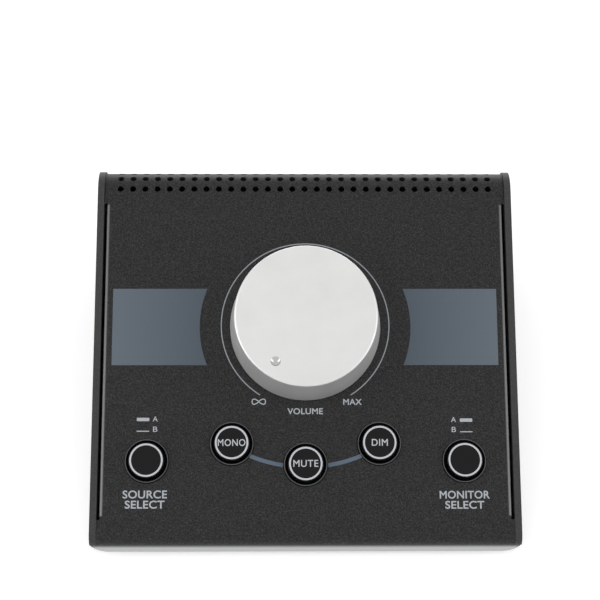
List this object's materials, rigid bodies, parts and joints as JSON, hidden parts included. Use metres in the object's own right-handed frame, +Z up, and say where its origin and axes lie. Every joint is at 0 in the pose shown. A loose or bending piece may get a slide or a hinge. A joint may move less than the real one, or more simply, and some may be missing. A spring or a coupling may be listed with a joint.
{
  "type": "studio monitor controller",
  "caption": "Wedge-shaped desktop monitor controller with a large aluminium volume dial, round push buttons, a vented rear bend and rear audio sockets.",
  "frame": {"origin": "on the desk plane at the underside of the feet, below the centre of the overall length and width", "axes": "+X to the right as seen from the front, +Y to the rear panel, +Z up"},
  "size_m": [0.145, 0.1268, 0.0637],
  "materials": {
    "cover_paint": "fine matt powder coat",
    "side_paint": "fine matt powder coat",
    "tray_paint": "light grey satin paint",
    "foot_rubber": "matt",
    "knob_aluminium": "fine blasted, clear anodised",
    "hub_plastic": "matt",
    "steel": "plain",
    "black_steel": "black",
    "rotor_plastic": "matt",
    "pot_plastic": "matt",
    "brass": "plain",
    "nickel": "bright nickel",
    "button_plastic": "gloss",
    "ring_plastic": "satin",
    "plunger_plastic": "matt",
    "switch_plastic": "matt",
    "socket_plastic": "matt",
    "board_laminate": "solder mask",
    "ribbon_plastic": "matt"
  },
  "bodies": {
    "case": {"top_cover": "cover_paint", "left_side_plate": "side_paint", "right_side_plate": "side_paint", "base_tray": "tray_paint", "rear_panel": "cover_paint", "rubber_feet": "foot_rubber", "pot_housing": "pot_plastic", "pot_bushing": "brass", "pot_nut": "nickel", "pot_washer": "nickel", "source_bezel": "button_plastic", "mono_bezel": "button_plastic", "mute_bezel": "button_plastic", "dim_bezel": "button_plastic", "monitor_bezel": "button_plastic", "source_switch": "switch_plastic", "mono_switch": "switch_plastic", "mute_switch": "switch_plastic", "dim_switch": "switch_plastic", "monitor_switch": "switch_plastic", "jack_body_lower_1": "socket_plastic", "jack_body_lower_2": "socket_plastic", "jack_body_lower_3": "socket_plastic", "jack_body_lower_4": "socket_plastic", "jack_body_upper_1": "socket_plastic", "jack_body_upper_2": "socket_plastic", "jack_body_upper_3": "socket_plastic", "jack_body_upper_4": "socket_plastic", "jack_sleeves": "nickel", "jack_nuts": "nickel", "jack_washers": "nickel", "control_board": "board_laminate", "jack_board": "board_laminate", "ribbon_cable": "ribbon_plastic", "ribbon_headers": "switch_plastic", "board_standoffs": "brass", "board_screws": "steel", "side_screws": "black_steel", "rear_screws": "black_steel", "base_screws": "black_steel"},
    "dial": {"knob_cap": "knob_aluminium", "knob_hub": "hub_plastic", "pot_shaft": "steel", "pot_rotor": "rotor_plastic"},
    "source_button": {"source_cap": "button_plastic", "source_ring": "ring_plastic", "source_plunger": "plunger_plastic"},
    "mono_button": {"mono_cap": "button_plastic", "mono_ring": "ring_plastic", "mono_plunger": "plunger_plastic"},
    "mute_button": {"mute_cap": "button_plastic", "mute_ring": "ring_plastic", "mute_plunger": "plunger_plastic"},
    "dim_button": {"dim_cap": "button_plastic", "dim_ring": "ring_plastic", "dim_plunger": "plunger_plastic"},
    "monitor_button": {"monitor_cap": "button_plastic", "monitor_ring": "ring_plastic", "monitor_plunger": "plunger_plastic"}
  },
  "joints": [
    {"name": "dial_turn", "type": "hinge", "parent": "case", "child": "dial", "pos_m": [0, 0.00469, 0.03799], "axis": [0, 0.3746, -0.9272], "range_deg": [0, 294]},
    {"name": "source_press", "type": "slide", "parent": "case", "child": "source_button", "axis": [0, 0.3746, -0.9272], "range_m": [0, 0.0018], "stiffness_N_per_m": 500, "springref_m": -0.0005},
    {"name": "mono_press", "type": "slide", "parent": "case", "child": "mono_button", "axis": [0, 0.3746, -0.9272], "range_m": [0, 0.0018], "stiffness_N_per_m": 500, "springref_m": -0.0005},
    {"name": "mute_press", "type": "slide", "parent": "case", "child": "mute_button", "axis": [0, 0.3746, -0.9272], "range_m": [0, 0.0018], "stiffness_N_per_m": 500, "springref_m": -0.0005},
    {"name": "dim_press", "type": "slide", "parent": "case", "child": "dim_button", "axis": [0, 0.3746, -0.9272], "range_m": [0, 0.0018], "stiffness_N_per_m": 500, "springref_m": -0.0005},
    {"name": "monitor_press", "type": "slide", "parent": "case", "child": "monitor_button", "axis": [0, 0.3746, -0.9272], "range_m": [0, 0.0018], "stiffness_N_per_m": 500, "springref_m": -0.0005}
  ]
}
